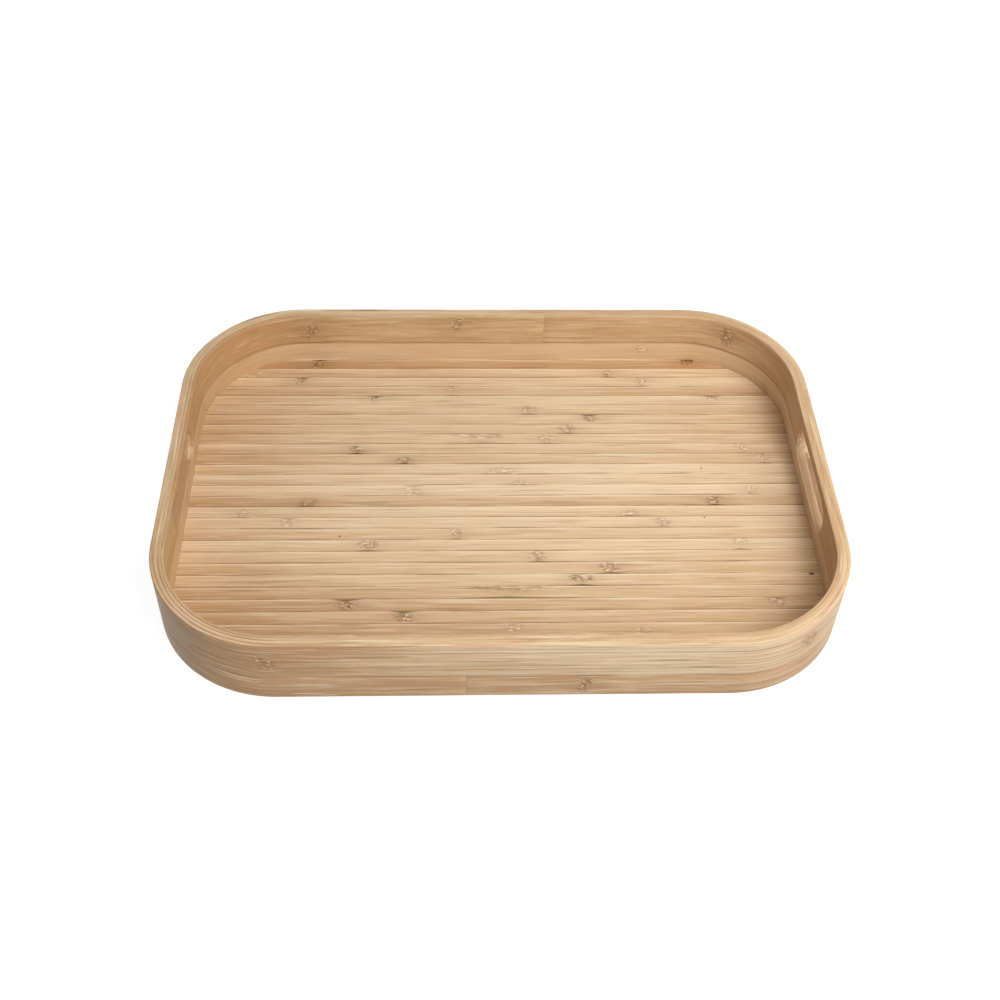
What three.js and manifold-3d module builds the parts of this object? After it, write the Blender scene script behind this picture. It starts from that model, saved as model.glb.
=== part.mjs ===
// Serving tray of laminated bamboo: a bent rim of four plies, a three-ply floor let into it from
// below, and a hand slot through each short side.
// Millimetres, +Z up. The tray stands on z = 0, centred on the origin, with its length along X.
import * as THREE from 'three';
import { mergeVertices } from 'three/addons/utils/BufferGeometryUtils.js';
import Module from 'manifold-3d';

const wasm = await Module();
wasm.setup();

// ---- Driving dimensions ----
const LENGTH = 450;
const WIDTH = 320;
const HEIGHT = 52;
const CORNER_RADIUS = 83;
const CORNER_FLATS = 18;

// The rim's plies from the outside in. Each ply is two bands, one on the other, that meet at the
// height `joint`, and the joints are staggered from ply to ply. A band is one bent strip whose
// two ends meet in a butt seam on a long side: `seams` gives its side (+1 rear, -1 front) and x.
const RIM_PLIES = [
  { name: 'outer', inset: 0, thickness: 2.5, joint: 21,
    seams: { lower: [-1, -24], upper: [1, 96] } },
  { name: 'second', inset: 2.5, thickness: 2.5, joint: 31,
    seams: { lower: [1, -70], upper: [-1, 62] } },
  { name: 'third', inset: 5, thickness: 2.25, joint: 21,
    seams: { lower: [-1, 88], upper: [1, -104] } },
  { name: 'inner', inset: 7.25, thickness: 1.75, joint: 26,
    seams: { lower: [-1, -58], upper: [1, 38] } },
];
const SEAM_GAP = 0.3;

// The floor panel lies in a rabbet under the third and inner plies, so its edge meets the second.
const FLOOR_TOP = 10;
const RABBET_INSET = 5;
const FACE_PLY = 2;
const CORE_PLY = 2;
const BACKING_PLY = 2;
const FLOOR_STRIP_WIDTH = 10.4;
const FIRST_FLOOR_JOINT = 149.7;
const BACKING_STRIP_WIDTH = 20.8;
const FIRST_BACKING_JOINT = 145.6;

// The hand slots, one through each short side, a little nearer the front than the middle.
const SLOT_LENGTH = 90;
const SLOT_HEIGHT = 24;
const SLOT_CENTRE_Y = -4;
const SLOT_CENTRE_Z = 33;
const SLOT_FLATS = 16;

// ---- Colours ----
const RIM_COLOURS = { outer: 0xd8b48d, second: 0xcfaa80, third: 0xcaa378, inner: 0xc39d76 };
const FLOOR_COLOURS = [0xd8b48c, 0xd0b190, 0xcaa67c, 0xd9bb94];
const CORE_COLOUR = 0xc29a6d;
const BACKING_COLOURS = [0xd0ab80, 0xc7a277, 0xd5b48b];
const DARK_STRIP_COLOUR = 0xbe976c;

// ---- Helpers ----

// A quarter circle of unit radius from +X to +Y, as [cos, sin] pairs shared by every corner, so
// that plies which meet in a corner share their vertices exactly.
const QUARTER = Array.from({ length: CORNER_FLATS + 1 }, (_, i) => {
  const angle = (Math.PI / 2) * (i / CORNER_FLATS);
  return [Math.cos(angle), Math.sin(angle)];
});
QUARTER[0] = [1, 0];
QUARTER[CORNER_FLATS] = [0, 1];

// The tray's rounded outline moved inwards by `inset`: the four corner arcs, starting on the rear
// side and running anticlockwise seen from above.
function outlinePoints(inset) {
  const radius = CORNER_RADIUS - inset;
  const centreX = LENGTH / 2 - CORNER_RADIUS;
  const centreY = WIDTH / 2 - CORNER_RADIUS;
  const rearLeft = QUARTER.map(([c, s]) => [-centreX - radius * s, centreY + radius * c]);
  const frontLeft = QUARTER.map(([c, s]) => [-centreX - radius * c, -centreY - radius * s]);
  const frontRight = QUARTER.map(([c, s]) => [centreX + radius * s, -centreY - radius * c]);
  const rearRight = QUARTER.map(([c, s]) => [centreX + radius * c, centreY + radius * s]);
  return [...rearLeft, ...frontLeft, ...frontRight, ...rearRight];
}

function shapeFrom(points) {
  return new THREE.Shape(points.map(([x, y]) => new THREE.Vector2(x, y)));
}

// A shape extruded along +Z from z = bottom to z = top.
function prism(shape, bottom, top) {
  const geometry = new THREE.ExtrudeGeometry(shape, { depth: top - bottom, bevelEnabled: false });
  geometry.translate(0, 0, bottom);
  return geometry;
}

function toManifold(geometry) {
  const bare = geometry.clone();
  bare.deleteAttribute('normal');
  bare.deleteAttribute('uv');
  const merged = mergeVertices(bare);
  const mesh = new wasm.Mesh({
    numProp: 3,
    vertProperties: new Float32Array(merged.attributes.position.array),
    triVerts: new Uint32Array(merged.index.array),
  });
  return new wasm.Manifold(mesh);
}

function toGeometry(solid) {
  const mesh = solid.getMesh();
  const geometry = new THREE.BufferGeometry();
  geometry.setAttribute('position', new THREE.BufferAttribute(mesh.vertProperties, 3));
  geometry.setIndex(new THREE.BufferAttribute(mesh.triVerts, 1));
  return geometry;
}

const tray = new THREE.Group();

function addPiece(name, geometry, colour, roughness) {
  const flatShaded = geometry.index ? geometry.toNonIndexed() : geometry;
  flatShaded.computeVertexNormals();
  const material = new THREE.MeshStandardMaterial({ color: colour, roughness, metalness: 0 });
  const mesh = new THREE.Mesh(flatShaded, material);
  mesh.name = name;
  tray.add(mesh);
}

// ---- Rim ----

// The plan of a band: the outline at two insets, opened by the butt seam on one long side.
function bandShape(ply, [side, seamX]) {
  const outer = outlinePoints(ply.inset);
  const inner = outlinePoints(ply.inset + ply.thickness);
  const outerY = WIDTH / 2 - ply.inset;
  const innerY = outerY - ply.thickness;
  // A seam in front is a rear seam turned half round, and the outline looks the same either way.
  const rearX = side * seamX;
  const left = rearX - SEAM_GAP / 2;
  const right = rearX + SEAM_GAP / 2;
  const loop = [
    [left, outerY], ...outer, [right, outerY],
    [right, innerY], ...inner.reverse(), [left, innerY],
  ];
  return shapeFrom(loop.map(([x, y]) => [side * x, side * y]));
}

// The cutter for one hand slot: a round-ended bar along X through the short side at `side`.
function slotCutter(side) {
  const radius = SLOT_HEIGHT / 2;
  const halfStraight = SLOT_LENGTH / 2 - radius;
  const shape = new THREE.Shape();
  shape.absarc(halfStraight, 0, radius, -Math.PI / 2, Math.PI / 2, false);
  shape.absarc(-halfStraight, 0, radius, Math.PI / 2, Math.PI * 1.5, false);
  const geometry = new THREE.ExtrudeGeometry(shape, {
    depth: 40,
    bevelEnabled: false,
    curveSegments: SLOT_FLATS,
  });
  geometry.translate(0, 0, -20);
  geometry.rotateX(Math.PI / 2);
  geometry.rotateZ(Math.PI / 2);
  geometry.translate(side * (LENGTH / 2), SLOT_CENTRE_Y, SLOT_CENTRE_Z);
  return toManifold(geometry);
}

const slotCutters = [slotCutter(-1), slotCutter(1)];

for (const ply of RIM_PLIES) {
  const restsOnFloor = ply.inset >= RABBET_INSET;
  const bands = {
    lower: [restsOnFloor ? FLOOR_TOP : 0, ply.joint],
    upper: [ply.joint, HEIGHT],
  };
  for (const [row, [bottom, top]] of Object.entries(bands)) {
    let solid = toManifold(prism(bandShape(ply, ply.seams[row]), bottom, top));
    for (const cutter of slotCutters) solid = solid.subtract(cutter);
    addPiece(`rim_${ply.name}_ply_${row}`, toGeometry(solid), RIM_COLOURS[ply.name], 0.5);
  }
}

// ---- Floor panel ----

const panelShape = shapeFrom(outlinePoints(RABBET_INSET));
const panelHalfWidth = WIDTH / 2 - RABBET_INSET;

// Strips side by side along X, parted at regular joints from `firstJoint` forwards, with the
// remainder of the panel as a narrower strip at each long edge, all cut to the panel's outline.
function addStripPly(name, bottom, top, firstJoint, stripWidth, colourOf) {
  const panel = toManifold(prism(panelShape, bottom, top));
  const edges = [panelHalfWidth];
  for (let y = firstJoint; y > -panelHalfWidth; y -= stripWidth) edges.push(y);
  edges.push(-panelHalfWidth);
  for (let i = 0; i < edges.length - 1; i += 1) {
    const rear = edges[i];
    const front = edges[i + 1];
    const box = new THREE.BoxGeometry(LENGTH, rear - front, top - bottom);
    box.translate(0, (rear + front) / 2, (top + bottom) / 2);
    const number = String(i + 1).padStart(2, '0');
    addPiece(`${name}_${number}`, toGeometry(panel.intersect(toManifold(box))), colourOf(i), 0.5);
  }
}

const coreTop = FLOOR_TOP - FACE_PLY;
const backingTop = coreTop - CORE_PLY;
const panelBottom = backingTop - BACKING_PLY;

addStripPly('floor_strip', coreTop, FLOOR_TOP, FIRST_FLOOR_JOINT, FLOOR_STRIP_WIDTH,
  (i) => (i === 1 ? DARK_STRIP_COLOUR : FLOOR_COLOURS[i % FLOOR_COLOURS.length]));

addPiece('floor_core_ply', prism(panelShape, backingTop, coreTop), CORE_COLOUR, 0.6);

addStripPly('floor_backing_strip', panelBottom, backingTop, FIRST_BACKING_JOINT,
  BACKING_STRIP_WIDTH, (i) => BACKING_COLOURS[i % BACKING_COLOURS.length]);

export default tray;
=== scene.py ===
import math
from collections import namedtuple

import bpy
from mathutils import Matrix, Vector


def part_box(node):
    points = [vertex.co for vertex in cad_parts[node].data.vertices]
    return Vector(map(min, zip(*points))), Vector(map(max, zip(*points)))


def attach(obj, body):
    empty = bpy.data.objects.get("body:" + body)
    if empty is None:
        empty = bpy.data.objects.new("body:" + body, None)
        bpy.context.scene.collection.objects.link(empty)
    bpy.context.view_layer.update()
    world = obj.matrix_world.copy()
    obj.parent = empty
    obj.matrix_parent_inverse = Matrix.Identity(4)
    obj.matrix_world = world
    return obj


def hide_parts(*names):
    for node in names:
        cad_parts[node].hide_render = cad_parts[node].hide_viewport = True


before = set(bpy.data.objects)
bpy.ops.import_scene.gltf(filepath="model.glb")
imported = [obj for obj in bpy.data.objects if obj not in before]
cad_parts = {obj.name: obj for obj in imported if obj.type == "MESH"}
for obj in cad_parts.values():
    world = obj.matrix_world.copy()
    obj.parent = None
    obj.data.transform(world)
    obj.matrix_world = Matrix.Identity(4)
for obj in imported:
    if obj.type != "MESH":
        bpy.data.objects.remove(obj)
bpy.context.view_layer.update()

# A serving tray of laminated bamboo: a bent rim of four plies, each a lower and an upper band, a
# floor of glued strips, and a hand slot through each short side. Every piece is made here in
# millimetres as a stack of layers through its thickness, and written out in metres.


def box_mm(node):
    low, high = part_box(node)
    return [c * 1000 for c in low], [c * 1000 for c in high]


# ---- Sizes, in millimetres ----

HALF_LENGTH = box_mm("rim_outer_ply_lower")[1][0]
HALF_WIDTH = box_mm("rim_outer_ply_lower")[1][1]
CORNER_RADIUS = 83.0
WALL = 9.0
SEAM_GAP = 0.06
SLOT_HALF_STRAIGHT = 33.0
SLOT_RADIUS = 12.0
SLOT_Y = -4.0
SLOT_Z = 33.0
CORNER_X = HALF_LENGTH - CORNER_RADIUS
CORNER_Y = HALF_WIDTH - CORNER_RADIUS
QUARTER = CORNER_RADIUS * math.pi / 2
RABBET_INSET = HALF_LENGTH - box_mm("floor_core_ply")[1][0]

# The butt seam of each band: its long side (+1 rear, -1 front) and its x.
SEAMS = {
    "outer_lower": (-1, -24), "outer_upper": (1, 96),
    "second_lower": (1, -70), "second_upper": (-1, 62),
    "third_lower": (-1, 88), "third_upper": (1, -104),
    "inner_lower": (-1, -58), "inner_upper": (1, 38),
}

# ---- The rim's outline ----


def outline_runs(seam_x):
    """The outline seen from above, from a seam on the rear side round to it again, anticlockwise:
    straights as (length, start, direction) and corners as (length, centre, first angle)."""
    return [
        (seam_x + CORNER_X, (seam_x, HALF_WIDTH), (-1, 0)),
        (QUARTER, (-CORNER_X, CORNER_Y), 90),
        (2 * CORNER_Y, (-HALF_LENGTH, CORNER_Y), (0, -1)),
        (QUARTER, (-CORNER_X, -CORNER_Y), 180),
        (2 * CORNER_X, (-CORNER_X, -HALF_WIDTH), (1, 0)),
        (QUARTER, (CORNER_X, -CORNER_Y), 270),
        (2 * CORNER_Y, (HALF_LENGTH, -CORNER_Y), (0, 1)),
        (QUARTER, (CORNER_X, CORNER_Y), 0),
        (CORNER_X - seam_x, (CORNER_X, HALF_WIDTH), (-1, 0)),
    ]


def outline_point(runs, along, inset):
    """The point `along` the outline, moved inwards by `inset`."""
    for length, start, heading in runs:
        if along <= length or (length, start, heading) == runs[-1]:
            break
        along -= length
    if isinstance(heading, tuple):
        dx, dy = heading
        return start[0] + dx * along - dy * inset, start[1] + dy * along + dx * inset
    angle = math.radians(heading) + along / CORNER_RADIUS
    radius = CORNER_RADIUS - inset
    return start[0] + radius * math.cos(angle), start[1] + radius * math.sin(angle)


def along_at(runs, x, y):
    """How far along the outline the point of it nearest to (x, y) is, to the millimetre."""
    tries = []
    walked = 0.0
    for length, _, _ in runs:
        steps = max(2, int(length))
        tries += [walked + length * i / steps for i in range(steps + 1)]
        walked += length
    return min(tries, key=lambda along: math.dist(outline_point(runs, along, 0), (x, y)))


# ---- Solids from layers ----


def eased(depth, size):
    """How far an edge rounded to the radius `size` stands back at `depth` below the face."""
    if depth >= size:
        return 0.0
    return size - math.sqrt(size * size - (size - depth) ** 2)


EASE_ANGLES = (0, 18, 36, 54, 72, 90)
SAME_DEPTH = 1e-4
SHARP_ANGLE = math.radians(32)


def layer_depths(thickness, first, second):
    """Depths of a piece's layers, close together in the eased edge of each of its two faces."""
    shares = [1 - math.cos(math.radians(angle)) for angle in EASE_ANGLES]
    front = [first * share for share in shares]
    back = [thickness - second * share for share in reversed(shares)]
    return front + [depth for depth in back if depth > front[-1] + SAME_DEPTH]


def layered_mesh(name, faces, layers):
    """A closed mesh from one flat net of faces placed at each layer. A layer is a list of
    (point, grain) pairs, one for each corner of the net, in millimetres."""
    # An edge that no second face runs along the other way is on the net's rim.
    edges = dict.fromkeys((a, b) for face in faces for a, b in zip(face, face[1:] + face[:1]))
    rim = [(a, b) for a, b in edges if (b, a) not in edges]
    points, grains, index = [], [], {}

    def vertex(layer, corner):
        key = (layer, corner)
        if key not in index:
            point, grain = layers[layer][corner]
            index[key] = len(points)
            points.append([c * 0.001 for c in point])
            grains.append(grain)
        return index[key]

    last = len(layers) - 1
    polygons = [[vertex(0, c) for c in face] for face in faces]
    polygons += [[vertex(last, c) for c in reversed(face)] for face in faces]
    for k in range(last):
        for a, b in rim:
            polygons.append([vertex(k, b), vertex(k, a), vertex(k + 1, a), vertex(k + 1, b)])
    mesh = bpy.data.meshes.new(name)
    mesh.from_pydata(points, [], polygons)
    mesh.validate()
    attribute = mesh.attributes.new("grain", "FLOAT_VECTOR", "POINT")
    attribute.data.foreach_set("vector", [c for grain in grains for c in grain])
    mesh.polygons.foreach_set("use_smooth", [True] * len(mesh.polygons))
    mesh.set_sharp_from_angle(angle=SHARP_ANGLE)
    mesh.update()
    return mesh


def add_piece(name, node, mesh, material):
    """A visual piece that takes the place of the CAD node `node`."""
    piece = bpy.data.objects.new(name, mesh)
    bpy.context.scene.collection.objects.link(piece)
    mesh.materials.append(material)
    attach(piece, "root")
    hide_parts(node)


# ---- Rim bands ----

CORNER_STEPS = 44
LONG_SIDE_SPACING = 12.0
SLOT_MARGIN = 4.0
ARC_STEPS = 14
ROWS_BELOW = 3
ROWS_ABOVE = 4
# A slot's lowest line lies on the joint of the outer and third plies. It is taken to cut into the
# upper band by SLOT_BITE, and its arc there to span at least LEAST_TIP_ANGLE degrees.
SLOT_BITE = 0.03
LEAST_TIP_ANGLE = 4.0


class Band:
    """One bent strip of the rim, laid out flat as columns along it and rows up it, and placed
    round the outline layer by layer from its outer face to its inner face."""

    def __init__(self, ply, row, inset, thickness, edges):
        self.name = f"rim_{ply}_ply_{row}"
        low, high = box_mm(self.name)
        self.bottom, self.top = low[2], high[2]
        self.inset, self.thickness = inset, thickness
        self.edges = edges
        self.side, seam_x = SEAMS[f"{ply}_{row}"]
        self.runs = outline_runs(self.side * seam_x)
        self.total = sum(run[0] for run in self.runs)
        self.is_upper = row == "upper"
        self.make_columns()

    def place(self, along, inset, z):
        x, y = outline_point(self.runs, along, inset)
        return self.side * x, self.side * y, z

    def along(self, x, y):
        """The grain coordinate of the band at (x, y)."""
        return along_at(self.runs, self.side * x, self.side * y)

    def make_columns(self):
        """Columns as (kind, position, slot centre). A column in a slot has its position as a
        share of a straight or an arc, so that it moves with the slot's edge in each layer."""
        self.columns = [("end", 0, None)]
        walked = 0.0
        for length, start, heading in self.runs:
            if not isinstance(heading, tuple):
                self.columns += [("plain", walked + length * i / CORNER_STEPS, None)
                                 for i in range(CORNER_STEPS + 1)]
            elif heading[0] == 0:
                centre_y = self.side * SLOT_Y
                centre = walked + (centre_y - start[1]) * heading[1]
                reach = SLOT_HALF_STRAIGHT + SLOT_RADIUS + SLOT_MARGIN
                first = centre - reach - walked
                last = walked + length - centre - reach
                self.columns += [("plain", walked + first * i / 3, None) for i in (1, 2, 3)]
                self.columns += self.slot_columns(centre)
                self.columns += [("plain", centre + reach + last * i / 3, None)
                                 for i in (0, 1, 2)]
            else:
                steps = max(2, round(length / LONG_SIDE_SPACING))
                self.columns += [("plain", walked + length * i / steps, None)
                                 for i in range(1, steps)]
            walked += length
        self.columns.append(("end", 1, None))

    def slot_columns(self, centre):
        """A slot's columns from end to end. Out from its centre they are its straight, then the
        tip, where the arc cuts through the band's edge, and in an upper band the rest of the
        arc."""
        nominal = self.tip_angle(0.0, 0.0)
        tip_steps = max(2, round(ARC_STEPS * nominal / 90)) if self.is_upper else ARC_STEPS
        half = [("straight", i / 3, centre) for i in range(1, 4)]
        half += [("tip", i / tip_steps, centre) for i in range(1, tip_steps + 1)]
        if self.is_upper:
            rest = ARC_STEPS - tip_steps + 2
            half += [("end_arc", i / rest, centre) for i in range(1, rest + 1)]
        mirrored = [(kind, -share, at) for kind, share, at in reversed(half)]
        return mirrored + [("straight", 0.0, centre)] + half

    def tip_angle(self, slot_growth, edge_growth):
        """The angle round the slot's end at which its edge meets the band's edge."""
        radius = SLOT_RADIUS + slot_growth
        if self.is_upper:
            level = SLOT_Z - (self.bottom + edge_growth) - SLOT_BITE
        else:
            level = SLOT_Z - (self.top - edge_growth)
        return max(LEAST_TIP_ANGLE, math.degrees(math.acos(min(1.0, level / radius))))

    def in_slot(self, column, growth):
        """(distance from the slot's centre, half of its height there) in a slot column."""
        kind, share, _ = column
        radius = SLOT_RADIUS + growth["slot"]
        if kind == "straight":
            return SLOT_HALF_STRAIGHT * share, radius
        edge = growth["bottom"] if self.is_upper else growth["top"]
        tip = self.tip_angle(growth["slot"], edge)
        if kind == "tip":
            angle = math.radians(abs(share) * tip)
        else:
            angle = math.radians(tip + abs(share) * (90 - tip))
        away = SLOT_HALF_STRAIGHT + radius * math.sin(angle)
        return math.copysign(away, share), radius * math.cos(angle)

    def growths(self, depth):
        """How far each kind of edge stands back at this depth in the ply."""
        result = {}
        for kind, (outer, inner) in self.edges.items():
            result[kind] = eased(depth, outer) + eased(self.thickness - depth, inner)
        return result

    def column_parts(self, column):
        """Which parts of the column hold material: (below the slot, above the slot)."""
        kind, share, _ = column
        if not self.is_upper:
            return True, False
        if kind == "straight" or (kind == "tip" and abs(share) < 1):
            return False, True
        return True, True

    def net(self):
        """The faces of the band's net, as corner keys (column, part, row)."""
        faces = []
        for j in range(len(self.columns) - 1):
            parts = zip(self.column_parts(self.columns[j]), self.column_parts(self.columns[j + 1]))
            for part, (here, there) in enumerate(parts):
                rows = ROWS_ABOVE if part else ROWS_BELOW
                if here and there:
                    for k in range(rows):
                        faces.append([self.key(j, part, k), self.key(j + 1, part, k),
                                      self.key(j + 1, part, k + 1), self.key(j, part, k + 1)])
        return faces

    def key(self, j, part, k):
        """A corner's key. Outside the slot the two parts share the corner where they meet."""
        kind, share, _ = self.columns[j]
        joined = kind in ("plain", "end") or (kind == "end_arc" and abs(share) == 1)
        if part == 1 and k == 0 and joined:
            return j, 0, ROWS_BELOW
        return j, part, k

    def corner(self, key, depth, growth):
        """The point and the grain coordinates of one corner of the net at `depth`."""
        j, part, k = key
        kind, share, centre = self.columns[j]
        bottom = self.bottom + growth["bottom"]
        top = self.top - growth["top"]
        if kind == "end":
            along = growth["seam"] + SEAM_GAP / 2
            along = self.total - along if share else along
            middle = (SLOT_Z, SLOT_Z)
        elif kind == "plain":
            along, middle = share, (SLOT_Z, SLOT_Z)
        else:
            away, half = self.in_slot(self.columns[j], growth)
            along, middle = centre + away, (SLOT_Z - half, SLOT_Z + half)
        if not self.is_upper:
            z = bottom + (min(top, middle[0]) - bottom) * k / ROWS_BELOW
            if kind in ("plain", "end"):
                z = bottom + (top - bottom) * k / ROWS_BELOW
        elif part == 0:
            z = bottom + (middle[0] - bottom) * k / ROWS_BELOW
        else:
            z = middle[1] + (top - middle[1]) * k / ROWS_ABOVE
        return self.place(along, self.inset + depth, z), (along, z, self.inset + depth)

    def mesh(self):
        """The whole band as a closed mesh."""
        net = self.net()
        keys = sorted({key for face in net for key in face})
        number = {key: i for i, key in enumerate(keys)}
        faces = [[number[key] for key in reversed(face)] for face in net]
        outer = max(pair[0] for pair in self.edges.values())
        inner = max(pair[1] for pair in self.edges.values())
        layers = []
        for depth in layer_depths(self.thickness, outer, inner):
            growth = self.growths(depth)
            layers.append([self.corner(key, depth, growth) for key in keys])
        return layered_mesh(self.name, faces, layers)


# ---- Floor strips ----


def panel_reach(y, inset):
    """Half the length of the floor panel at `y`: its outline is the rim's, moved inwards."""
    beyond = max(0.0, abs(y) - CORNER_Y)
    radius = CORNER_RADIUS - inset
    return CORNER_X + math.sqrt(max(0.0, radius * radius - beyond * beyond))


def strip_mesh(name, ease_top, ease_bottom, rows=6, steps=56, across=False):
    """A strip of the floor panel along X, with its long edges eased and its ends cut to the
    panel's outline. With `across`, its grain runs across the tray."""
    low, high = box_mm(name)
    thickness = high[2] - low[2]
    middle = (low[1] + high[1]) / 2
    faces = []
    width = rows + 1
    for i in range(steps):
        for k in range(rows):
            a = i * width + k
            faces.append([a, a + width, a + width + 1, a + 1])
    layers = []
    for depth in layer_depths(thickness, ease_top, ease_bottom):
        back = eased(depth, ease_top) + eased(thickness - depth, ease_bottom)
        layer = []
        for i in range(steps + 1):
            for k in range(width):
                y = low[1] + back + (high[1] - low[1] - 2 * back) * k / rows
                x = panel_reach(y, RABBET_INSET) * (2 * i / steps - 1)
                z = high[2] - depth
                grain = (y, x, z) if across else (x, y - middle, z)
                layer.append(((x, y, z), grain))
        layers.append(layer)
    return layered_mesh(name, faces, layers)


# ---- Material nodes ----


def srgb(red, green, blue):
    """A colour given as 0 to 255, in the linear values that Blender mixes."""
    def channel(value):
        value /= 255
        return value / 12.92 if value <= 0.04045 else ((value + 0.055) / 1.055) ** 2.4
    return channel(red), channel(green), channel(blue), 1.0


class Net:
    """A material's node tree, built by functions that return output sockets."""

    def __init__(self, name):
        self.material = bpy.data.materials.new(name)
        self.material.use_nodes = True
        self.tree = self.material.node_tree
        self.tree.nodes.clear()

    def add(self, kind, inputs=None, output=0, **settings):
        made = self.tree.nodes.new(kind)
        for setting, value in settings.items():
            setattr(made, setting, value)
        for key, value in (inputs or {}).items():
            if isinstance(value, bpy.types.NodeSocket):
                self.tree.links.new(value, made.inputs[key])
            else:
                made.inputs[key].default_value = value
        return made.outputs[output]

    def math(self, operation, *values, clamp=False):
        inputs = dict(enumerate(values))
        return self.add("ShaderNodeMath", inputs, operation=operation, use_clamp=clamp)

    def vector(self, operation, *values):
        output = 1 if operation in ("LENGTH", "DISTANCE") else 0
        return self.add("ShaderNodeVectorMath", dict(enumerate(values)), output,
                        operation=operation)

    def combine(self, x, y, z):
        return self.add("ShaderNodeCombineXYZ", {0: x, 1: y, 2: z})

    def noise(self, vector, detail, roughness, distortion=0.0):
        return self.add("ShaderNodeTexNoise", {
            "Vector": vector, "Scale": 1.0, "Detail": detail, "Roughness": roughness,
            "Distortion": distortion})

    def span(self, value, low, high, to_low=0.0, to_high=1.0):
        """A smooth step of `value` from `low` to `high`."""
        inputs = {0: value, 1: low, 2: high, 3: to_low, 4: to_high}
        return self.add("ShaderNodeMapRange", inputs, interpolation_type="SMOOTHSTEP")

    def mix(self, share, first, second):
        return self.add("ShaderNodeMix", {0: share, 6: first, 7: second}, 2, data_type="RGBA")

    def ramp(self, value, stops):
        result = self.add("ShaderNodeValToRGB", {0: value})
        bar = result.node.color_ramp
        while len(bar.elements) < len(stops):
            bar.elements.new(0.5)
        for element, (position, colour) in zip(bar.elements, stops):
            element.position = position
            element.color = colour
        return result

    def surface(self, inputs):
        """The finished material, with these inputs on its shader."""
        shader = self.add("ShaderNodeBsdfPrincipled", inputs)
        out = self.tree.nodes.new("ShaderNodeOutputMaterial")
        self.tree.links.new(shader, out.inputs["Surface"])
        return self.material


PALETTE = {
    "deep": srgb(184, 143, 100),
    "mid": srgb(212, 180, 140),
    "light": srgb(232, 207, 171),
    "line": srgb(122, 82, 40),
    "cream": srgb(247, 230, 202),
    "pink": srgb(216, 164, 132),
    "brown": srgb(146, 104, 60),
    "dark": srgb(92, 60, 26),
}


Knot = namedtuple("Knot", "dx dy strength reach chance outline dark cream bend")


def nearest_knot(net, along, across, knots, seed, tall):
    """The offsets from the knot nearest along the grain, and the masks of its marks."""
    ordered = sorted(knots)
    nearest, reach = ordered[0][:3], ordered[0][3]
    for before, after in zip(ordered, ordered[1:]):
        beyond = net.math("GREATER_THAN", along, (before[0] + after[0]) / 2)
        change = tuple(b - a for a, b in zip(before, after))
        nearest = net.vector("MULTIPLY_ADD", beyond, change[:3], nearest)
        reach = net.math("MULTIPLY_ADD", beyond, change[3], reach)
    at = net.add("ShaderNodeSeparateXYZ", {0: nearest}).node.outputs
    chance = net.add("ShaderNodeTexWhiteNoise", {"Vector": nearest}, 1)
    chance = net.add("ShaderNodeSeparateXYZ", {0: chance}).node.outputs
    dx = net.math("SUBTRACT", along, at[0])
    dy = net.math("SUBTRACT", across, at[1])
    strength = at[2]

    # The knot's patch is an ellipse that leans a little, to a side that differs by knot.
    lean = net.math("SUBTRACT", chance[0], 0.5)
    leaned = net.math("MULTIPLY_ADD", dy, lean, dx)
    radius = net.vector("LENGTH", net.combine(net.math("DIVIDE", leaned, reach),
                                              net.math("DIVIDE", dy, tall), 0.0))
    dense = net.span(radius, 1.05, 0.45)

    # Inside it, a curly noise is cut into thin outlines, dark cores and cream islands.
    figure = net.math("MULTIPLY_ADD", net.math("DIVIDE", dx, reach), 2.4, at[0])
    worm = net.noise(net.combine(figure, net.math("MULTIPLY", across, 0.62), seed + 7.0),
                     2.5, 0.6, 0.7)
    lifted = net.math("MULTIPLY_ADD", strength, 0.07, net.math("SUBTRACT", worm, 0.035))
    ridge = net.math("ABSOLUTE", net.math("SUBTRACT", worm, 0.5))
    outline = net.math("MULTIPLY", net.span(ridge, 0.04, 0.01), dense)
    dark = net.math("MULTIPLY", net.span(lifted, 0.56, 0.64), dense)
    cream = net.math("MULTIPLY", net.span(lifted, 0.45, 0.39), dense)

    # Round it, the grain bends out of the knot's way.
    spread = net.vector("LENGTH", net.combine(net.math("DIVIDE", dx, 26.0),
                                              net.math("DIVIDE", dy, tall * 1.8), 0.0))
    bend = net.math("MULTIPLY", net.span(spread, 1.0, 0.0), strength)
    return Knot(dx, dy, strength, reach, chance[2], outline, dark, cream, bend)


# The noises drawn out along the grain: (scale along, scale across, shift, detail, roughness).
GRAIN = {
    "waver": (0.011, 0.06, 3.1, 2.0, 0.55),
    "fibres": (0.045, 1.9, 11.0, 4.0, 0.62),
    "streaks": (0.012, 0.44, 23.0, 3.0, 0.6),
    "broad": (0.004, 0.12, 37.0, 2.0, 0.5),
    "rose": (0.012, 0.36, 51.0, 2.0, 0.55),
    "dark_line": (0.016, 0.72, 67.0, 2.0, 0.5),
    "pale_line": (0.018, 0.85, 83.0, 2.0, 0.5),
    "pores": (0.16, 4.6, 97.0, 2.0, 0.6),
}
# The scale through the wood, as a share of the scale across it.
DEPTH_SCALE = 0.45
# How strongly each grain noise lightens the ground. They are centred on the tone.
LIGHTENING = {"fibres": 0.8, "streaks": 1.6, "broad": 0.9}
MEAN_LIGHTENING = 1.65
# The values between which a noise turns into a mark.
ROSE_CUT = (0.56, 0.70)
LINE_CUT = (0.60, 0.69)
PORE_CUT = (0.60, 0.72)
# The most that each mark covers of the colour below it.
COVER = {
    "dark_line": 0.6, "pale_line": 0.65, "pores": 0.22, "dark_joint": 0.74, "pale_joint": 0.5,
    "glue": 0.9, "knot_tint": 0.3, "knot_cream": 0.5, "knot_dark": 0.9, "wedge": 0.85, "dot": 0.9,
}
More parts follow.
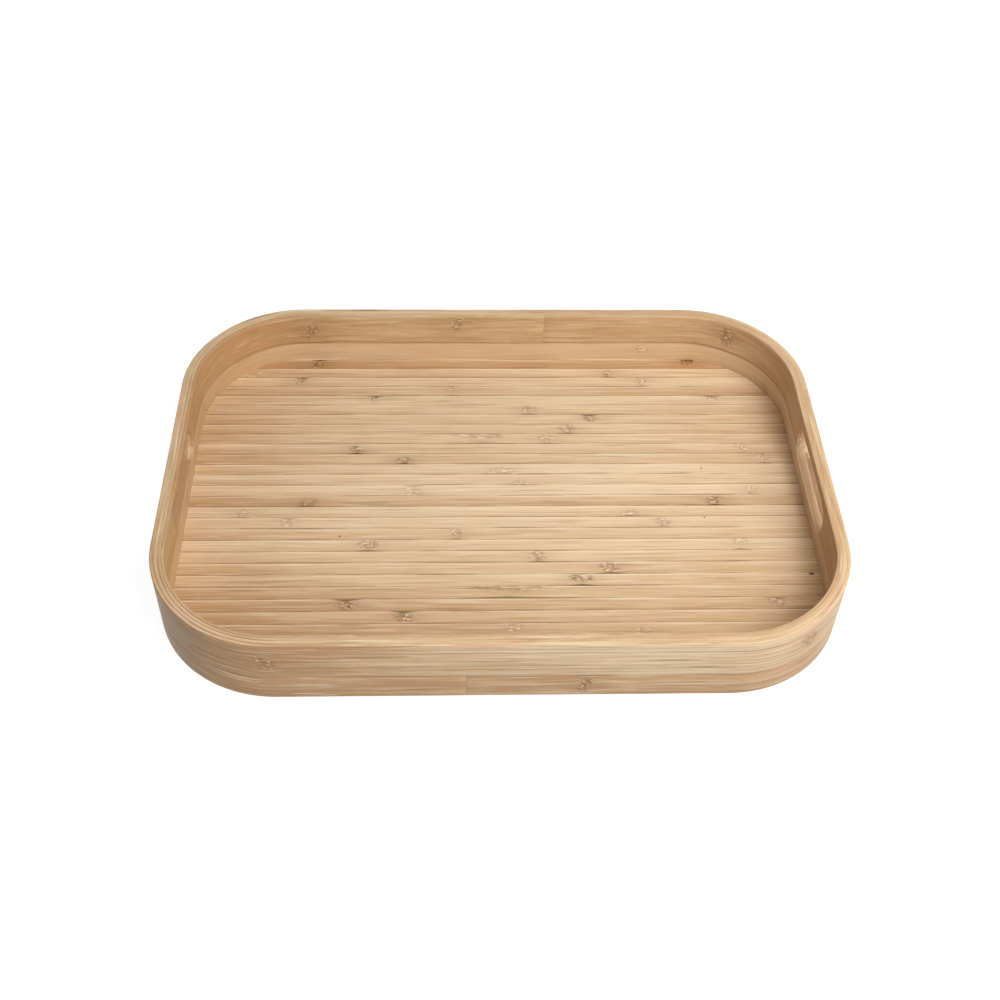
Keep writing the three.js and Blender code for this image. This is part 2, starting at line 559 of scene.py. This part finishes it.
# How far the waver moves the grain, in millimetres, and the share by which a knot bends it.
WAVER_REACH = 2.4
KNOT_PULL = -0.45
# How far behind its face a band starts to show its cut edge, and shows it fully, in millimetres.
FACE_EDGE = (0.3, 0.7)
# How much lighter a strip is at its rear edge than in its middle.
STRIP_SLOPE = 0.13
ROUGHNESS = 0.5
COAT = 0.06


class Bamboo:
    """The nodes of one clear-coated bamboo. The grain attribute holds (along, across, depth) in
    millimetres. Each method lays one kind of mark over the colour so far."""

    def __init__(self, name, seed, knots, tall, shortness):
        self.net = net = Net(name)
        self.seed, self.shortness = seed, shortness
        grain = net.add("ShaderNodeAttribute", output=1, attribute_name="grain")
        apart = net.add("ShaderNodeSeparateXYZ", {0: grain}).node.outputs
        self.along, self.across, self.depth = apart[0], apart[1], apart[2]
        self.bent = self.across
        self.knot = None
        self.groove = None
        if knots:
            self.knot = nearest_knot(net, self.along, self.across, knots, seed, tall)
            pull = net.math("MULTIPLY", self.knot.dy, self.knot.bend)
            self.bent = net.math("MULTIPLY_ADD", pull, KNOT_PULL, self.across)
        self.waver = self.grain_noise("waver")
        self.bent = net.math("MULTIPLY_ADD", self.waver, WAVER_REACH, self.bent)
        self.fibres = self.grain_noise("fibres")
        patchy = net.combine(net.math("MULTIPLY", self.along, 0.018), seed, self.across)
        self.patchy = net.noise(patchy, 3.0, 0.6)

    def grain_noise(self, kind):
        """One of the grain noises, along the fibres as they are bent so far."""
        net = self.net
        per_along, per_across, shift, detail, roughness = GRAIN[kind]
        place = net.combine(
            net.math("MULTIPLY_ADD", self.along, per_along * self.shortness, self.seed + shift),
            net.math("MULTIPLY", self.bent, per_across),
            net.math("MULTIPLY", self.depth, per_across * DEPTH_SCALE))
        return net.noise(place, detail, roughness)

    def gap(self, value, place):
        return self.net.math("ABSOLUTE", self.net.math("SUBTRACT", value, place))

    def lay(self, share, colour):
        """Covers a share of the colour so far with one of the palette."""
        self.colour = self.net.mix(share, self.colour, PALETTE[colour])

    def lay_ground(self, tone, contrast, edges, cut, light_and_shade):
        """Light and dark wood, from three sizes of grain and the tone of the place, with painted
        light and painted shade along it.
        """
        net = self.net
        level = tone - MEAN_LIGHTENING * contrast
        noises = {"fibres": self.fibres, "streaks": self.grain_noise("streaks"),
                  "broad": self.grain_noise("broad")}
        for kind, noise in noises.items():
            level = net.math("MULTIPLY_ADD", noise, LIGHTENING[kind] * contrast, level)
        on_face = 1.0
        if cut:
            face, change = cut
            near, far = FACE_EDGE
            behind = self.gap(self.depth, face)
            on_face = net.span(behind, far, near)
            level = net.math("ADD", level, net.span(behind, near, far, 0.0, change))
        # Painted shade and painted light: the tone is lowered or raised round places along the
        # piece.
        for centre, reach, change in light_and_shade:
            shade = net.span(self.gap(self.along, centre), reach, 0.0, 0.0, change)
            level = net.math("MULTIPLY_ADD", shade, on_face, level)
        if edges:
            level = net.math("MULTIPLY_ADD", self.across, STRIP_SLOPE / edges, level)
        level = net.math("ADD", level, 0.0, clamp=True)
        self.colour = net.ramp(level, [(0.0, PALETTE["deep"]), (0.5, PALETTE["mid"]),
                                       (1.0, PALETTE["light"])])

    def lay_streaks(self, pink, streakiness):
        """Pink tints, long dark and pale lines, and pores."""
        net = self.net
        self.lay(net.span(self.grain_noise("rose"), *ROSE_CUT, 0.0, pink), "pink")
        for kind, colour in (("dark_line", "line"), ("pale_line", "cream")):
            share = COVER[kind] * streakiness
            self.lay(net.span(self.grain_noise(kind), *LINE_CUT, 0.0, share), colour)
        self.pores = net.span(self.grain_noise("pores"), *PORE_CUT)
        self.lay(net.math("MULTIPLY", self.pores, COVER["pores"] * streakiness), "line")

    def lay_joints(self, edges):
        """A strip's glue lines: a broken dark one along its front edge, a pale one at the rear."""
        net = self.net
        rough = net.math("MULTIPLY_ADD", self.fibres, 1.4, net.math("SUBTRACT", self.across, 0.7))
        front = net.span(rough, -edges + 1.5, -edges + 0.2)
        there = net.span(self.patchy, 0.42, 0.58, 0.04, COVER["dark_joint"])
        self.groove = net.math("MULTIPLY", front, there)
        self.lay(self.groove, "line")
        rear = net.span(rough, edges - 1.8, edges - 0.3)
        there = net.span(self.patchy, 0.58, 0.42, 0.05, COVER["pale_joint"])
        self.lay(net.math("MULTIPLY", rear, there), "cream")

    def lay_glue(self, films, near):
        """Glue films on cut edges, clearest within `near`."""
        net = self.net
        for film in films:
            thin = net.span(self.gap(self.depth, film), 0.36, 0.06)
            clear = net.span(self.gap(self.along, near[0]), near[1], 0.0, 0.18, COVER["glue"])
            self.lay(net.math("MULTIPLY", thin, clear), "line")

    def lay_lines(self, lines):
        """Single long grain lines that waver and break up."""
        net = self.net
        for place, amount in lines:
            drift = net.math("MULTIPLY_ADD", self.waver, 1.2, place - 0.6)
            thin = net.span(self.gap(self.across, drift), 0.6, 0.1)
            broken = net.span(self.patchy, 0.40, 0.60, 0.2 * amount, amount)
            self.lay(net.math("MULTIPLY", thin, broken), "line")

    def lay_knots(self, edges):
        """The knots' tints and marks, and on a strip a dark wedge at one of its edges."""
        net, knot = self.net, self.knot
        self.lay(net.math("MULTIPLY", knot.bend, COVER["knot_tint"]), "brown")
        self.lay(net.math("MULTIPLY", knot.cream, COVER["knot_cream"]), "cream")
        share = net.math("MULTIPLY_ADD", knot.strength, 0.5, 0.35)
        self.lay(net.math("MULTIPLY", knot.outline, share), "brown")
        share = net.math("MULTIPLY", knot.strength, COVER["knot_dark"])
        self.lay(net.math("MULTIPLY", knot.dark, share), "dark")
        if edges:
            side = net.math("MULTIPLY_ADD", net.math("GREATER_THAN", knot.chance, 0.35), 2.0, -1.0)
            away = net.math("DIVIDE", net.math("ABSOLUTE", knot.dx),
                            net.math("MULTIPLY", knot.reach, 1.5))
            lift = net.math("MULTIPLY_ADD", self.across, side, edges)
            wedge = net.span(net.math("MULTIPLY_ADD", lift, 0.45, away), 1.0, 0.6)
            wedge = net.math("MULTIPLY", wedge, knot.strength)
            self.lay(net.math("MULTIPLY", wedge, COVER["wedge"]), "dark")

    def lay_dots(self, dots):
        """Round dark pin marks."""
        net = self.net
        for along, across, radius in dots:
            here = net.combine(self.along, self.across, 0.0)
            away = net.vector("DISTANCE", here, (along, across, 0.0))
            self.lay(net.span(away, radius, radius * 0.5, 0.0, COVER["dot"]), "dark")

    def finished(self):
        """The material, with its gloss and fine relief."""
        net = self.net
        gloss = net.math("MULTIPLY_ADD", self.fibres, 0.22, ROUGHNESS - 0.11)
        gloss = net.math("MULTIPLY_ADD", self.pores, 0.10, gloss, clamp=True)
        relief = net.math("MULTIPLY_ADD", self.pores, -0.6, self.fibres)
        if self.knot is not None:
            relief = net.math("MULTIPLY_ADD", self.knot.dark, -0.8, relief)
        if self.groove is not None:
            relief = net.math("MULTIPLY_ADD", self.groove, -1.0, relief)
        bump = net.add("ShaderNodeBump", {"Strength": 0.35, "Distance": 0.00006,
                                          "Height": relief})
        return net.surface({
            "Base Color": self.colour, "Roughness": gloss, "Normal": bump, "Coat Weight": COAT,
            "Coat Roughness": 0.32, "IOR": 1.46, "Specular IOR Level": 0.28})


def bamboo(name, tone, seed, knots=(), dots=(), edges=None, glue=(), glue_near=None,
           lines=(), light_and_shade=(), cut=None, tall=5.4, pink=0.5, contrast=1.0, shortness=1.0,
           streakiness=1.0):
    """A bamboo material. `tone` runs from 0, dark, to 1, light. `knots` are (along, across,
    strength, reach) and reach `tall` to each side, and `dots` are (along, across, radius).
    `edges` is the half-width at which a strip's glue lines run. `glue` are depths of glue films
    seen on edge, clearest within `glue_near`, (along, reach). `lines` are (across, strength) of
    single long grain lines. `cut` is (depth of the face, change of tone behind it), and
    `light_and_shade` are (along, reach, change of tone) of painted light and painted shade, on
    the face alone where there is a `cut`."""
    wood = Bamboo(name, seed, knots, tall, shortness)
    wood.lay_ground(tone, contrast, edges, cut, light_and_shade)
    wood.lay_streaks(pink, streakiness)
    if edges:
        wood.lay_joints(edges)
    wood.lay_glue(glue, glue_near)
    wood.lay_lines(lines)
    if knots:
        wood.lay_knots(edges)
    wood.lay_dots(dots)
    return wood.finished()


# ---- The rim ----

SHARP = 0.05
HIDDEN = (SHARP, SHARP)
# ply, inset, thickness, then (outer face, inner face) easing of its top, foot, joint, slot, seam
PLIES = [
    ("outer", 0.0, 2.5, (0.8, SHARP), (0.8, SHARP), (0.1, SHARP), (0.1, SHARP), (0.1, SHARP)),
    ("second", 2.5, 2.5, HIDDEN, (SHARP, 0.5), HIDDEN, HIDDEN, HIDDEN),
    ("third", 5.0, 2.25, HIDDEN, HIDDEN, HIDDEN, HIDDEN, HIDDEN),
    ("inner", 7.25, 1.75, (SHARP, 0.8), HIDDEN, (SHARP, 0.08), (SHARP, 0.1), (SHARP, 0.1)),
]

# Knots of the bands that show: (x, y, z, strength, reach along the band).
BAND_KNOTS = {
    "outer_upper": [(-147, -160, 36, 0.7, 7), (190, -144, 36, 0.8, 8), (60, 160, 34, 0.7, 7),
                    (-120, 160, 38, 0.8, 6), (-225, 60, 30, 0.6, 6), (225, 62, 44, 0.6, 6)],
    "outer_lower": [(50, -160, 11, 1.0, 5), (-150, 160, 11, 0.8, 6), (90, 160, 9, 0.7, 6),
                    (225, -50, 10, 0.6, 6), (-225, -30, 11, 0.7, 6)],
    "inner_upper": [(-139, 151, 38, 0.8, 5), (-28, 151, 44, 0.6, 6), (180, 146, 40, 0.9, 7),
                    (40, -151, 36, 0.7, 6), (-216, 66, 40, 0.4, 6)],
    "inner_lower": [(115, 151, 20, 0.3, 7), (-100, -151, 18, 0.4, 6), (150, -151, 17, 0.4, 6)],
}
BAND_LOOK = {
    "outer_upper": dict(seed=117.0, tone=0.64, lines=[(44.0, 0.7), (31.5, 0.5), (27.6, 0.6)],
                        pink=0.8, contrast=1.2, tall=10.0, streakiness=0.9, cut=(0.0, -0.16)),
    "outer_lower": dict(seed=104.0, tone=0.22, lines=[(20.5, 0.9), (7.0, 0.4)], pink=0.8,
                        contrast=1.2, tall=10.0),
    "second_upper": dict(seed=143.0, tone=0.44, pink=0.3, contrast=0.8, streakiness=0.5),
    "second_lower": dict(seed=130.0, tone=0.3, pink=0.3, contrast=0.5, streakiness=0.3),
    "third_upper": dict(seed=169.0, tone=0.42, pink=0.3, contrast=0.8, streakiness=0.5),
    "third_lower": dict(seed=156.0, tone=0.3, pink=0.3, contrast=0.5, streakiness=0.3),
    "inner_upper": dict(seed=195.0, tone=0.32, lines=[(26.4, 0.5), (48.0, 0.3)], pink=0.35,
                        contrast=0.65, shortness=1.8, streakiness=0.4, tall=11.0),
    "inner_lower": dict(seed=182.0, tone=0.58, lines=[(25.7, 0.6)], pink=0.5, contrast=0.34,
                        tall=7.0, shortness=1.6, streakiness=0.12, cut=(WALL, -0.35)),
}
# Painted shade and painted light on the bands that show: (x, y, reach, change). A negative
# change is painted shade, as at the front left corner, on the left inner wall, in the rear left
# inner corner and in the left slots; a positive change is painted light.
BAND_PAINTED_SHADING = {
    "outer_upper": [(-190, -142, 200, -0.8), (215, -110, 120, -0.15), (110, -160, 120, 0.2)],
    "outer_lower": [(-201, -136, 190, -0.3)],
    "second_lower": [(-222, 0, 90, -0.5)],
    "third_lower": [(-220, 0, 90, -0.5)],
    "inner_upper": [(-216, 0, 170, -0.4), (216, 90, 120, 0.1), (216, -70, 110, -0.2),
                    (-190, 122, 120, -0.5)],
    "inner_lower": [(-216, 0, 170, -0.4), (214, 70, 130, 0.35), (-190, 122, 110, -0.35)],
}

# The glue films on the rim's top are clearest near the front left corner, within this reach.
CLEAR_FILMS_AT = (-190, -140)
CLEAR_FILMS_REACH = 110

for ply, inset, thickness, top, foot, joint, slot_edge, seam in PLIES:
    for row in ("lower", "upper"):
        band_edges = {
            "top": top if row == "upper" else joint,
            "bottom": joint if row == "upper" else foot,
            "slot": slot_edge,
            "seam": seam,
        }
        band = Band(ply, row, inset, thickness, band_edges)
        key = f"{ply}_{row}"
        marks = [(band.along(x, y), z, strength, reach)
                 for x, y, z, strength, reach in BAND_KNOTS.get(key, [])]
        films = [depth for depth in (inset, inset + thickness) if 0 < depth < WALL]
        # Painted shade and painted light on this band, placed along it.
        painted_shade_and_light = [(band.along(x, y), reach, change)
                  for x, y, reach, change in BAND_PAINTED_SHADING.get(key, [])]
        look = bamboo(f"bamboo_{key}", knots=marks, glue=films,
                      glue_near=(band.along(*CLEAR_FILMS_AT), CLEAR_FILMS_REACH),
                      light_and_shade=painted_shade_and_light, **BAND_LOOK[key])
        add_piece(f"visual_{band.name}", band.name, band.mesh(), look)

# ---- The floor ----

# Each strip's tone from the rear to the front, from 0, dark, to 9, light. The digits of
# STRIP_TONES weren't chosen by hand: a scratch program worked them out from the photograph and a
# render.
STRIP_TONES = "8057475545546673675755532328224"
BACKING_TONES = "5364475635746534"
DARKEST_TONE = 0.06
TONE_STEP = 0.09
# The second strip from the rear has a material slot of its own.
STRIP_EASE = 0.12
BACKING_EASE = 0.15
# Knots of the floor strips: (x, y, strength, reach).
FLOOR_KNOTS = [
    (-134.5, 144, 1.0, 7), (151.75, 147, 1.0, 7), (-184.5, 133, 0.3, 9), (-147, 125.5, 0.7, 6),
    (88, 134, 0.6, 6), (113, 125.5, 0.5, 6), (-32, 117, 0.4, 5), (-89.5, 105.5, 0.6, 6),
    (165.5, 107, 0.6, 7), (25.5, 94, 0.6, 7), (70.5, 84, 0.8, 7), (53, 73, 0.7, 8),
    (37, 63, 0.4, 9), (-10, 66, 0.5, 27), (-102, 50.5, 0.9, 6), (-67, 39, 0.8, 8),
    (180.5, 52, 0.4, 6), (195.5, 42, 0.5, 6), (4, 28, 0.2, 14), (15.5, 15.5, 0.3, 8),
    (-59.5, 8, 0.4, 8), (180.5, 9, 0.4, 7), (-133, -2, 0.8, 8), (153, -1, 0.9, 7),
    (-178, -12, 0.4, 6), (92, -13, 0.4, 8), (-146, -21, 0.4, 7), (114, -21.5, 0.5, 7),
    (-29.5, -31, 0.5, 6), (-89.5, -41, 0.7, 9), (165.5, -39.5, 0.5, 7), (25.5, -52, 0.7, 8),
    (74, -63, 0.8, 9), (54, -72, 0.9, 10), (4, -79.8, 0.6, 36), (-102, -94.5, 0.9, 9),
    (183, -93, 0.6, 8), (-64.5, -104.5, 0.8, 8), (7, -113, 0.4, 9), (92, -118, 0.3, 8),
]
# Painted shade along the floor strips near the left wall, and painted light right of the
# middle: (x, reach, change).
FLOOR_PAINTED_SHADING = [(-210, 120, -0.22), (70, 170, 0.1)]
# Pin marks: (x, y, radius).
FLOOR_DOTS = [(148, 31, 0.9), (144, -17.5, 0.9), (-109.5, -34, 0.9), (210, -69, 2.4)]


def tone_of(digit):
    return DARKEST_TONE + TONE_STEP * int(digit)


for number, digit in enumerate(STRIP_TONES, start=1):
    node = f"floor_strip_{number:02d}"
    low, high = box_mm(node)
    middle = (low[1] + high[1]) / 2
    marks = [(x, y - middle, *rest) for x, y, *rest in FLOOR_KNOTS if low[1] < y < high[1]]
    pins = [(x, y - middle, radius) for x, y, radius in FLOOR_DOTS if low[1] < y < high[1]]
    # The floor's painted shade near the left wall and painted light right of the middle.
    look = bamboo(f"bamboo_{node}", tone_of(digit), seed=29.0 * number, knots=marks, dots=pins,
                  edges=(high[1] - low[1]) / 2, light_and_shade=FLOOR_PAINTED_SHADING, contrast=0.64,
                  streakiness=0.52, pink=0.3)
    add_piece(f"visual_{node}", node, strip_mesh(node, STRIP_EASE, SHARP), look)

core_look = bamboo("bamboo_core_ply", 0.3, seed=5.0)
add_piece("visual_floor_core_ply", "floor_core_ply",
          strip_mesh("floor_core_ply", SHARP, SHARP, rows=48, steps=64, across=True),
          core_look)

# The underside. Each backing strip has a knot in each half, staggered from strip to strip.
for number, digit in enumerate(BACKING_TONES, start=1):
    node = f"floor_backing_strip_{number:02d}"
    low, high = box_mm(node)
    sway = 70.0 * math.sin(number * 2.1)
    marks = [(sway + middle, 3.0 * math.cos(number * 1.3), 0.7, 8) for middle in (-120, 120)]
    look = bamboo(f"bamboo_{node}", tone_of(digit), seed=41.0 * number, knots=marks,
                  edges=(high[1] - low[1]) / 2)
    add_piece(f"visual_{node}", node, strip_mesh(node, SHARP, BACKING_EASE), look)

# ---- Studio ----

STAGE_REACH = 40.0
STAGE_DROP = 0.0002
WORLD_BELOW = 0.54
WORLD_ABOVE = 0.21


def add_stage():
    """A wide white floor that glows and lies just under the tray. It is hidden from diffuse
    rays, so that its glow doesn't light the tray."""
    corners = [(x * STAGE_REACH, y * STAGE_REACH, 0.0)
               for x, y in ((-1, -1), (1, -1), (1, 1), (-1, 1))]
    mesh = bpy.data.meshes.new("stage_floor")
    mesh.from_pydata(corners, [], [(0, 1, 2, 3)])
    mesh.materials.append(Net("stage_paper").surface({
        "Base Color": (0.2, 0.2, 0.2, 1.0), "Roughness": 0.9,
        "Emission Color": (1.0, 1.0, 1.0, 1.0), "Emission Strength": 0.92}))
    stage_floor = bpy.data.objects.new("stage_floor", mesh)
    stage_floor.location.z = -STAGE_DROP
    bpy.context.scene.collection.objects.link(stage_floor)
    stage_floor.visible_diffuse = False


def area_light(name, place, target, size, power):
    """A round soft white light at `place` that shines at `target`."""
    light = bpy.data.lights.new(name, "AREA")
    light.shape = "DISK"
    light.size = size
    light.energy = power
    lamp = bpy.data.objects.new(name, light)
    lamp.location = place
    direction = Vector(target) - Vector(place)
    lamp.rotation_euler = direction.to_track_quat("-Z", "Y").to_euler()
    bpy.context.scene.collection.objects.link(lamp)


def add_world():
    """White light from all round, brighter below the horizon than above it."""
    world = bpy.data.worlds.new("studio")
    world.use_nodes = True
    nodes, links = world.node_tree.nodes, world.node_tree.links
    heading = nodes.new("ShaderNodeSeparateXYZ")
    links.new(nodes.new("ShaderNodeTexCoord").outputs["Generated"], heading.inputs[0])
    fade = nodes.new("ShaderNodeMapRange")
    for index, value in {1: -0.1, 2: 0.1, 3: WORLD_BELOW, 4: WORLD_ABOVE}.items():
        fade.inputs[index].default_value = value
    links.new(heading.outputs[2], fade.inputs[0])
    background = nodes["Background"]
    links.new(fade.outputs[0], background.inputs["Strength"])
    background.inputs["Color"].default_value = (1.0, 1.0, 1.0, 1.0)
    bpy.context.scene.world = world


add_stage()
TRAY_MIDDLE = (0.0, 0.0, 0.03)
area_light("key", (0.78, -0.72, 1.12), TRAY_MIDDLE, 0.7, 8.0)
area_light("high", (0.45, -0.8, 1.25), TRAY_MIDDLE, 0.5, 7.0)
area_light("front", (0.8, -1.4, 0.8), TRAY_MIDDLE, 0.9, 7.5)
area_light("overhead", (0.35, -0.1, 0.95), (0.1, 0.0, 0.0), 0.6, 2.5)
area_light("back", (0.0, 1.7, 1.3), TRAY_MIDDLE, 0.9, 6.0)
add_world()
bpy.context.scene.view_settings.view_transform = "Standard"

# ---- Camera ----

ELEVATION = math.radians(46.7)
TURN = math.radians(-2.93)
ROLL = math.radians(1.93)
DISTANCE = 0.9768
LOOK_AT = Vector((0.0018, 0.00913, 0.0))
FOCAL_LENGTH = 49.2
SENSOR_WIDTH = 36.0

back = Vector((math.sin(TURN) * math.cos(ELEVATION), -math.cos(TURN) * math.cos(ELEVATION),
               math.sin(ELEVATION)))
level_right = back.cross(Vector((0, 0, 1))).normalized() * -1
level_up = back.cross(level_right)
right = math.cos(ROLL) * level_right + math.sin(ROLL) * level_up
up = math.cos(ROLL) * level_up - math.sin(ROLL) * level_right
lens = bpy.data.cameras.new("camera")
lens.lens = FOCAL_LENGTH
lens.sensor_width = SENSOR_WIDTH
camera = bpy.data.objects.new("camera", lens)
axes = Matrix((right, up, back)).transposed().to_4x4()
camera.matrix_world = Matrix.Translation(LOOK_AT + back * DISTANCE) @ axes
bpy.context.scene.collection.objects.link(camera)
bpy.context.scene.camera = camera
